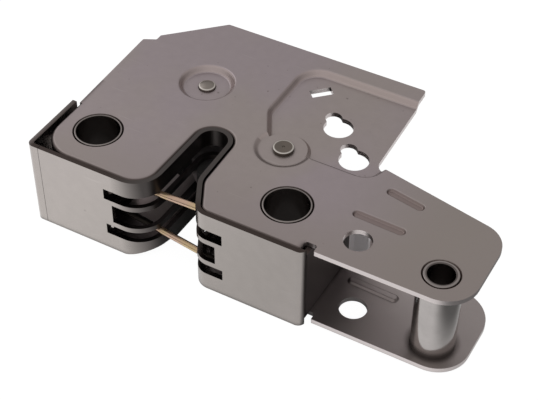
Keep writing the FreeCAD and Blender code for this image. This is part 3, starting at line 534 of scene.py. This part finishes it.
def shade_rolled_edges(material):
    """Painted shade where a plate's edge rolls in behind the band, reaching a little onto the flat."""
    tree, shader = parts_of(material)
    place = axes_of(tree, place_on(tree))
    zone = scaled(tree, below(tree, place["X"], ROLL_X * MM), below(tree, place["Y"], ROLL_Y * MM))
    in_seat = below(tree, away_from(tree, "pawl_pin"), PAWL_SEAT_R * MM)
    turned = scaled(tree, ramp(tree, level_of(tree), 0.99, 0.86), zone)
    turned = scaled(tree, turned, math_node(tree, "MULTIPLY_ADD", in_seat, -0.5, 0.85))
    rounded = add(tree, "ShaderNodeBevel", samples=8, inputs={"Radius": ROLL_SHADE_REACH * MM}).outputs["Normal"]
    lean = math_node(tree, "ABSOLUTE", axes_of(tree, rounded)["Z"])
    edge_shade = all_of(
        tree, ramp(tree, lean, 1.0, 0.60), zone,
        above(tree, away_from(tree, "bush_left"), BUSH_RING_R * MM),
        above(tree, away_from(tree, "bush_middle"), BUSH_RING_R * MM),
        math_node(tree, "SUBTRACT", 1.0, in_seat),
    )
    rolled_shade = math_node(tree, "MAXIMUM", turned, edge_shade)
    overlaid(tree, shader, "Base Color", rolled_shade, ROLL_PAINTED_SHADE)
    overlaid(tree, shader, "Roughness", rolled_shade, 0.42)


def shade_slot_walls(material):
    """Painted shade on both jaws and on the band's faces that look along the arm."""
    tree, shader = parts_of(material)
    place = axes_of(tree, place_on(tree))
    sideways = ramp(tree, facing_of(tree, "True Normal")["X"], 0.55, 0.95)
    slanting = math_node(tree, "MULTIPLY_ADD", place["Z"], JAW_SLANT, place["X"])
    left_shade = add(tree, "ShaderNodeMapRange", inputs={
        "Value": slanting, "From Min": LEFT_JAW_X[0] * MM, "From Max": LEFT_JAW_X[1] * MM,
    }).outputs["Result"]
    left = scaled(tree, left_shade, below(tree, place["X"], SLOT_MIDDLE_X * MM))
    right = all_of(
        tree,
        above(tree, place["X"], SLOT_MIDDLE_X * MM),
        below(tree, place["X"], RIGHT_JAW_X * MM),
        ramp_mm(tree, place["Y"], RIGHT_JAW_Y),
    )
    inner_leg = all_of(
        tree, sideways, above(tree, place["X"], RIGHT_JAW_X * MM), below(tree, place["X"], LIP_X * MM),
    )
    wall_shade = math_node(tree, "ADD", math_node(tree, "ADD", left, right), inner_leg)
    overlaid(tree, shader, "Base Color", wall_shade, SLOT_PAINTED_SHADE)
    overlaid(tree, shader, "Roughness", scaled(tree, wall_shade, 0.8), 0.40)


def lighten_edge_and_lip(material):
    """Side wall's top edge paler than the band's other cut edges, which carry painted shade, and painted
    light on the lip at the end of the band: whitish and not metallic.
    """
    tree, shader = parts_of(material)
    along = axes_of(tree, place_on(tree))["X"]
    upward = above(tree, facing_of(tree, "True Normal")["Z"], 0.5)
    overlaid(tree, shader, "Base Color", scaled(tree, ramp_mm(tree, along, SIDE_EDGE_X), upward), SIDE_EDGE)
    lip = above(tree, along, LIP_X * MM)
    overlaid(tree, shader, "Base Color", lip, LIP_PAINTED_LIGHT)
    overlaid(tree, shader, "Metallic", lip, 0.0)


# Settings

def color_property(name, description, default):
    return bpy.props.FloatVectorProperty(
        name=name, description=description, subtype="COLOR", size=4, min=0.0, max=1.0, default=default
    )


def share_property(name, description, default):
    return bpy.props.FloatProperty(name=name, description=description, min=0.0, max=1.0, default=default)


def turn_property(name, description, degrees):
    return bpy.props.FloatProperty(
        name=name, description=description, subtype="ANGLE", default=math.radians(degrees)
    )


class LatchSheetSettings(bpy.types.PropertyGroup):
    plate_color: color_property("Plate", "Colour of the two plates", (0.385, 0.340, 0.330, 1.0))
    plate_tint: color_property("Plate tint", "Second colour clouding the plates", (0.385, 0.335, 0.352, 1.0))
    # The band is the same steel as the plates; the amount by which it is paler than them is painted light
    wall_color: color_property("Wall", "Colour of the band round the front", (0.425, 0.387, 0.368, 1.0))
    wall_tint: color_property("Wall tint", "Second colour clouding the band", (0.415, 0.380, 0.358, 1.0))
    edge_color: color_property("Cut edge", "Bare steel of the plates' sheared edges", (0.82, 0.75, 0.74, 1.0))
    # The band's dark cut edges are painted shade
    band_edge_painted_shade: color_property("Band edge", "Film on the band's cut edges", (0.062, 0.048, 0.044, 1.0))
    plate_roughness: share_property("Plate roughness", "Roughness of the plates' faces", 0.30)
    wall_roughness: share_property("Wall roughness", "Roughness of the band's faces", 0.16)


class LatchSteelSettings(bpy.types.PropertyGroup):
    bush_color: color_property("Bush", "Colour of the bushes", (0.56, 0.525, 0.51, 1.0))
    claw_pin_color: color_property("Claw pin", "Colour of the claw's pin", (0.32, 0.285, 0.26, 1.0))
    pawl_pin_color: color_property("Pawl pin", "Colour of the pawl's pin", (0.175, 0.150, 0.130, 1.0))
    sleeve_color: color_property("Sleeve", "Colour of the spacer sleeves", (0.30, 0.285, 0.275, 1.0))
    claw_color: color_property("Claw", "Colour of the claw's skin", (0.13, 0.125, 0.125, 1.0))
    pawl_color: color_property("Pawl", "Colour of the pawl's skin", (0.15, 0.145, 0.14, 1.0))
    wire_color: color_property("Pop-up wire", "Yellow film on the pop-up spring", (0.64, 0.49, 0.29, 1.0))
    wire_drift: color_property("Wire drift", "Colour that the film drifts to", (0.62, 0.42, 0.36, 1.0))
    return_color: color_property("Return wire", "Colour of the return springs", (0.30, 0.29, 0.28, 1.0))


class LatchStageSettings(bpy.types.PropertyGroup):
    azimuth: turn_property("Azimuth", "Camera's turn round the latch from straight ahead", 28.81)
    elevation: turn_property("Elevation", "Camera's height above the horizon", 43.23)
    roll: turn_property("Roll", "Camera's turn about its own view", 0.52)
    distance: bpy.props.FloatProperty(
        name="Distance", description="Camera's distance from its target", subtype="DISTANCE", default=0.48184
    )
    target: bpy.props.FloatVectorProperty(
        name="Target", description="Point that the camera looks at", subtype="XYZ", size=3,
        default=(0.05113, 0.03034, 0.0),
    )
    lens: bpy.props.FloatProperty(name="Lens", description="Focal length in millimetres", default=88.22)
    floor_color: color_property("Floor", "Colour of the floor", (0.92, 0.92, 0.92, 1.0))
    floor_glow: bpy.props.FloatProperty(
        name="Floor glow", description="How bright the open floor looks in the metal", min=0.0, default=1.1
    )


# Stage

def make_camera(settings):
    back = Vector((
        math.sin(settings.azimuth) * math.cos(settings.elevation),
        -math.cos(settings.azimuth) * math.cos(settings.elevation),
        math.sin(settings.elevation),
    ))
    level = (-back).cross(Vector((0.0, 0.0, 1.0))).normalized()
    upward = level.cross(-back)
    right = level * math.cos(settings.roll) + upward * math.sin(settings.roll)
    over = upward * math.cos(settings.roll) - level * math.sin(settings.roll)
    lens = bpy.data.cameras.new("camera")
    lens.lens = settings.lens
    lens.sensor_width = SENSOR_WIDTH
    lens.clip_start = 10.0 * MM
    camera = bpy.data.objects.new("camera", lens)
    turn = Matrix((right, over, back)).transposed().to_4x4()
    camera.matrix_world = Matrix.Translation(Vector(settings.target) + back * settings.distance) @ turn
    bpy.context.scene.collection.objects.link(camera)
    bpy.context.scene.camera = camera


def make_floor(settings):
    """Pale floor: nearly plain white to the camera, paper to the light, and shaded where metal mirrors it."""
    mesh = bpy.data.meshes.new("floor")
    corners = ((-1, -1), (1, -1), (1, 1), (-1, 1))
    mesh.from_pydata([(x * FLOOR_HALF, y * FLOOR_HALF, CAD_LOW.z) for x, y in corners], [], [(0, 1, 2, 3)])
    floor = bpy.data.objects.new("floor", mesh)
    bpy.context.scene.collection.objects.link(floor)
    mesh.materials.append(floor_material(settings))


def floor_material(settings):
    material = bpy.data.materials.new("pale_floor")
    material.use_nodes = True
    tree = material.node_tree
    tree.nodes.clear()
    light_path = add(tree, "ShaderNodeLightPath").outputs
    place = place_on(tree)
    across = axes_of(tree, place)["X"]
    far = vector_node(tree, "LENGTH", vector_node(tree, "SUBTRACT", place, FLOOR_MIDDLE))
    open_sky = all_of(
        tree,
        ramp(tree, openness(tree, 0.06), 0.25, 0.5),
        dimming(tree, across, FLOOR_FADE_X, 0.3),
        dimming(tree, across, ARM_FADE_X, 0.85),
        dimming(tree, far, FLOOR_FADE_R, 0.92),
    )
    lit = math_node(tree, "MULTIPLY_ADD", open_sky, 0.96, 0.04)
    paper = add(tree, "ShaderNodeBsdfDiffuse", inputs={"Color": settings.floor_color}).outputs[0]
    glow = add(tree, "ShaderNodeEmission", inputs={"Strength": WHITE_GLOW}).outputs[0]
    sheen = scaled(tree, lit, settings.floor_glow)
    mirrored = add(tree, "ShaderNodeEmission", inputs={"Strength": sheen}).outputs[0]
    seen = mix_shader(tree, scaled(tree, light_path["Is Camera Ray"], WHITE_SHARE), paper, glow)
    surface = mix_shader(tree, light_path["Is Glossy Ray"], seen, mirrored)
    add(tree, "ShaderNodeOutputMaterial", inputs={"Surface": surface})
    return material


def make_world():
    """Soft room: dark at the horizon, even above it, a little darker to the right and the rear."""
    world = bpy.data.worlds.new("studio")
    bpy.context.scene.world = world
    world.use_nodes = True
    tree = world.node_tree
    tree.nodes.clear()
    toward = axes_of(tree, add(tree, "ShaderNodeTexCoord").outputs["Generated"])
    rightward = math_node(tree, "MAXIMUM", toward["X"], 0.0)
    sky = all_of(
        tree,
        ramp(tree, toward["Z"], 0.02, 0.45),
        math_node(tree, "MULTIPLY_ADD", toward["Y"], -0.22, 1.0),
        math_node(tree, "MULTIPLY_ADD", rightward, -0.35, 1.0),
    )
    room = mix_color(tree, sky, HORIZON, SKY)
    color = mix_color(tree, add(tree, "ShaderNodeLightPath").outputs["Is Camera Ray"], room, WHITE)
    background = add(tree, "ShaderNodeBackground", inputs={"Color": color, "Strength": 1.0})
    add(tree, "ShaderNodeOutputWorld", inputs={"Surface": background.outputs[0]})


def make_lamp(name, direction, distance, size, power):
    """Square soft light in a direction from the latch, turned to face it."""
    lamp = bpy.data.lights.new(name, "AREA")
    lamp.shape = "SQUARE"
    lamp.size = size
    lamp.energy = power
    holder = bpy.data.objects.new(name, lamp)
    toward = Vector(direction).normalized()
    holder.location = (CAD_LOW + CAD_HIGH) / 2.0 + toward * distance
    holder.rotation_mode = "QUATERNION"
    holder.rotation_quaternion = toward.to_track_quat("Z", "Y")
    bpy.context.scene.collection.objects.link(holder)


# Operators

class LATCH_OT_plates(bpy.types.Operator):
    """Finish the top and bottom plates as oiled, cold-rolled sheet"""

    bl_idname = "latch.finish_plates"
    bl_label = "Finish Plates"

    def execute(self, context):
        sheet = context.scene.latch_sheet
        for name, shades in PLATE_SHADES.items():
            material = steel(
                name + "_sheet", "Rolled Sheet", base=sheet.plate_color, tint=sheet.plate_tint,
                cut_edge=sheet.edge_color, roughness=sheet.plate_roughness, grain=0.5, upright_edges=1.0,
            )
            shade_plate(material, **shades)
            light_and_shade_pressings(material, BEAD_FLOOR_Z[name])
            shade_rolled_edges(material)
            if name == "bottom_plate":
                shadow_bush_foot(material)
            finish((name,), material)
        return {"FINISHED"}


class LATCH_OT_band(bpy.types.Operator):
    """Finish the band that runs round the front, the slot and the side"""

    bl_idname = "latch.finish_band"
    bl_label = "Finish Band"

    def execute(self, context):
        sheet = context.scene.latch_sheet
        material = steel(
            "band_sheet", "Rolled Sheet", base=sheet.wall_color, tint=sheet.wall_tint,
            cut_edge=sheet.band_edge_painted_shade, roughness=sheet.wall_roughness, grain=0.5, upright_edges=0.0,
        )
        shade_slot_walls(material)
        lighten_edge_and_lip(material)
        finish(BAND, material)
        return {"FINISHED"}


class LATCH_OT_turned(bpy.types.Operator):
    """Finish the bushes, the riveted pins and the spacer sleeves"""

    bl_idname = "latch.finish_turned"
    bl_label = "Finish Turned Pieces"

    def execute(self, context):
        colors = context.scene.latch_steel
        for name, bevel in BUSH_BEVEL_R.items():
            material = turned_steel(name + "_turned", colors.bush_color, roughness=0.12, clouds=0.1)
            darken_rim(material, name, bevel)
            if name == "bush_arm":
                shadow_bush_foot(material)
            finish((name,), material)
        for name, radius in PIN_HEAD_R.items():
            material = turned_steel(name + "_turned", getattr(colors, name + "_color"), roughness=0.26)
            highlight_head(material, name, radius)
            finish((name,), material)
        finish(SLEEVES, turned_steel("sleeve_drawn", colors.sleeve_color, roughness=0.38))
        return {"FINISHED"}


class LATCH_OT_springs(bpy.types.Operator):
    """Finish the pop-up spring and the two return springs"""

    bl_idname = "latch.finish_springs"
    bl_label = "Finish Springs"

    def execute(self, context):
        colors = context.scene.latch_steel
        finish(POPUP_WIRES, steel(
            "popup_wire", "Drawn Wire", base=colors.wire_color, drift=colors.wire_drift, film=0.7,
            roughness=0.22, bare_from=UNSHADED_WIRE_X[0] * MM, bare_to=UNSHADED_WIRE_X[1] * MM,
        ))
        finish(RETURN_WIRES, steel(
            "return_wire", "Drawn Wire", base=colors.return_color, drift=colors.return_color, film=0.3,
            roughness=0.32,
        ))
        return {"FINISHED"}


class LATCH_OT_levers(bpy.types.Operator):
    """Finish the claw and the pawl as phosphated, fine-blanked steel"""

    bl_idname = "latch.finish_levers"
    bl_label = "Finish Claw and Pawl"

    def execute(self, context):
        colors = context.scene.latch_steel
        for name, color in (("claw", colors.claw_color), ("pawl", colors.pawl_color)):
            skin = steel(name + "_skin", "Phosphated Steel", base=color, rubbed=RUBBED_SKIN, roughness=0.42)
            finish((name,), skin)
        return {"FINISHED"}


class LATCH_OT_stage(bpy.types.Operator):
    """Make the floor, the soft light and the camera"""

    bl_idname = "latch.make_stage"
    bl_label = "Make Stage"

    def execute(self, context):
        stage = context.scene.latch_stage
        make_camera(stage)
        make_floor(stage)
        make_world()
        make_lamp("left_softbox", direction=(-0.8, 0.2, 0.6), distance=1.6, size=1.2, power=2.0)
        context.scene.view_settings.view_transform = "Standard"
        return {"FINISHED"}


class LATCH_PT_panel(bpy.types.Panel):
    """Steps that dress the latch, in the order that they run"""

    bl_label = "Bonnet Latch"
    bl_idname = "LATCH_PT_panel"
    bl_space_type = "VIEW_3D"
    bl_region_type = "UI"
    bl_category = "Latch"

    def draw(self, context):
        layout = self.layout
        for step in STEPS:
            layout.operator(step.bl_idname)
        for group in SETTINGS:
            settings = getattr(context.scene, group)
            box = layout.box()
            for name in settings.__annotations__:
                box.prop(settings, name)


STEPS = (
    LATCH_OT_stage,
    LATCH_OT_plates,
    LATCH_OT_band,
    LATCH_OT_turned,
    LATCH_OT_springs,
    LATCH_OT_levers,
)
SETTINGS = {
    "latch_sheet": LatchSheetSettings,
    "latch_steel": LatchSteelSettings,
    "latch_stage": LatchStageSettings,
}


def register():
    for name, group in SETTINGS.items():
        bpy.utils.register_class(group)
        setattr(bpy.types.Scene, name, bpy.props.PointerProperty(type=group))
    for step in STEPS:
        bpy.utils.register_class(step)
    bpy.utils.register_class(LATCH_PT_panel)


def unregister():
    bpy.utils.unregister_class(LATCH_PT_panel)
    for step in reversed(STEPS):
        bpy.utils.unregister_class(step)
    for name, group in SETTINGS.items():
        delattr(bpy.types.Scene, name)
        bpy.utils.unregister_class(group)


def main():
    register()
    bpy.ops.latch.make_stage()
    bpy.ops.latch.finish_plates()
    bpy.ops.latch.finish_band()
    bpy.ops.latch.finish_turned()
    bpy.ops.latch.finish_springs()
    bpy.ops.latch.finish_levers()


if __name__ == "__main__":
    main()
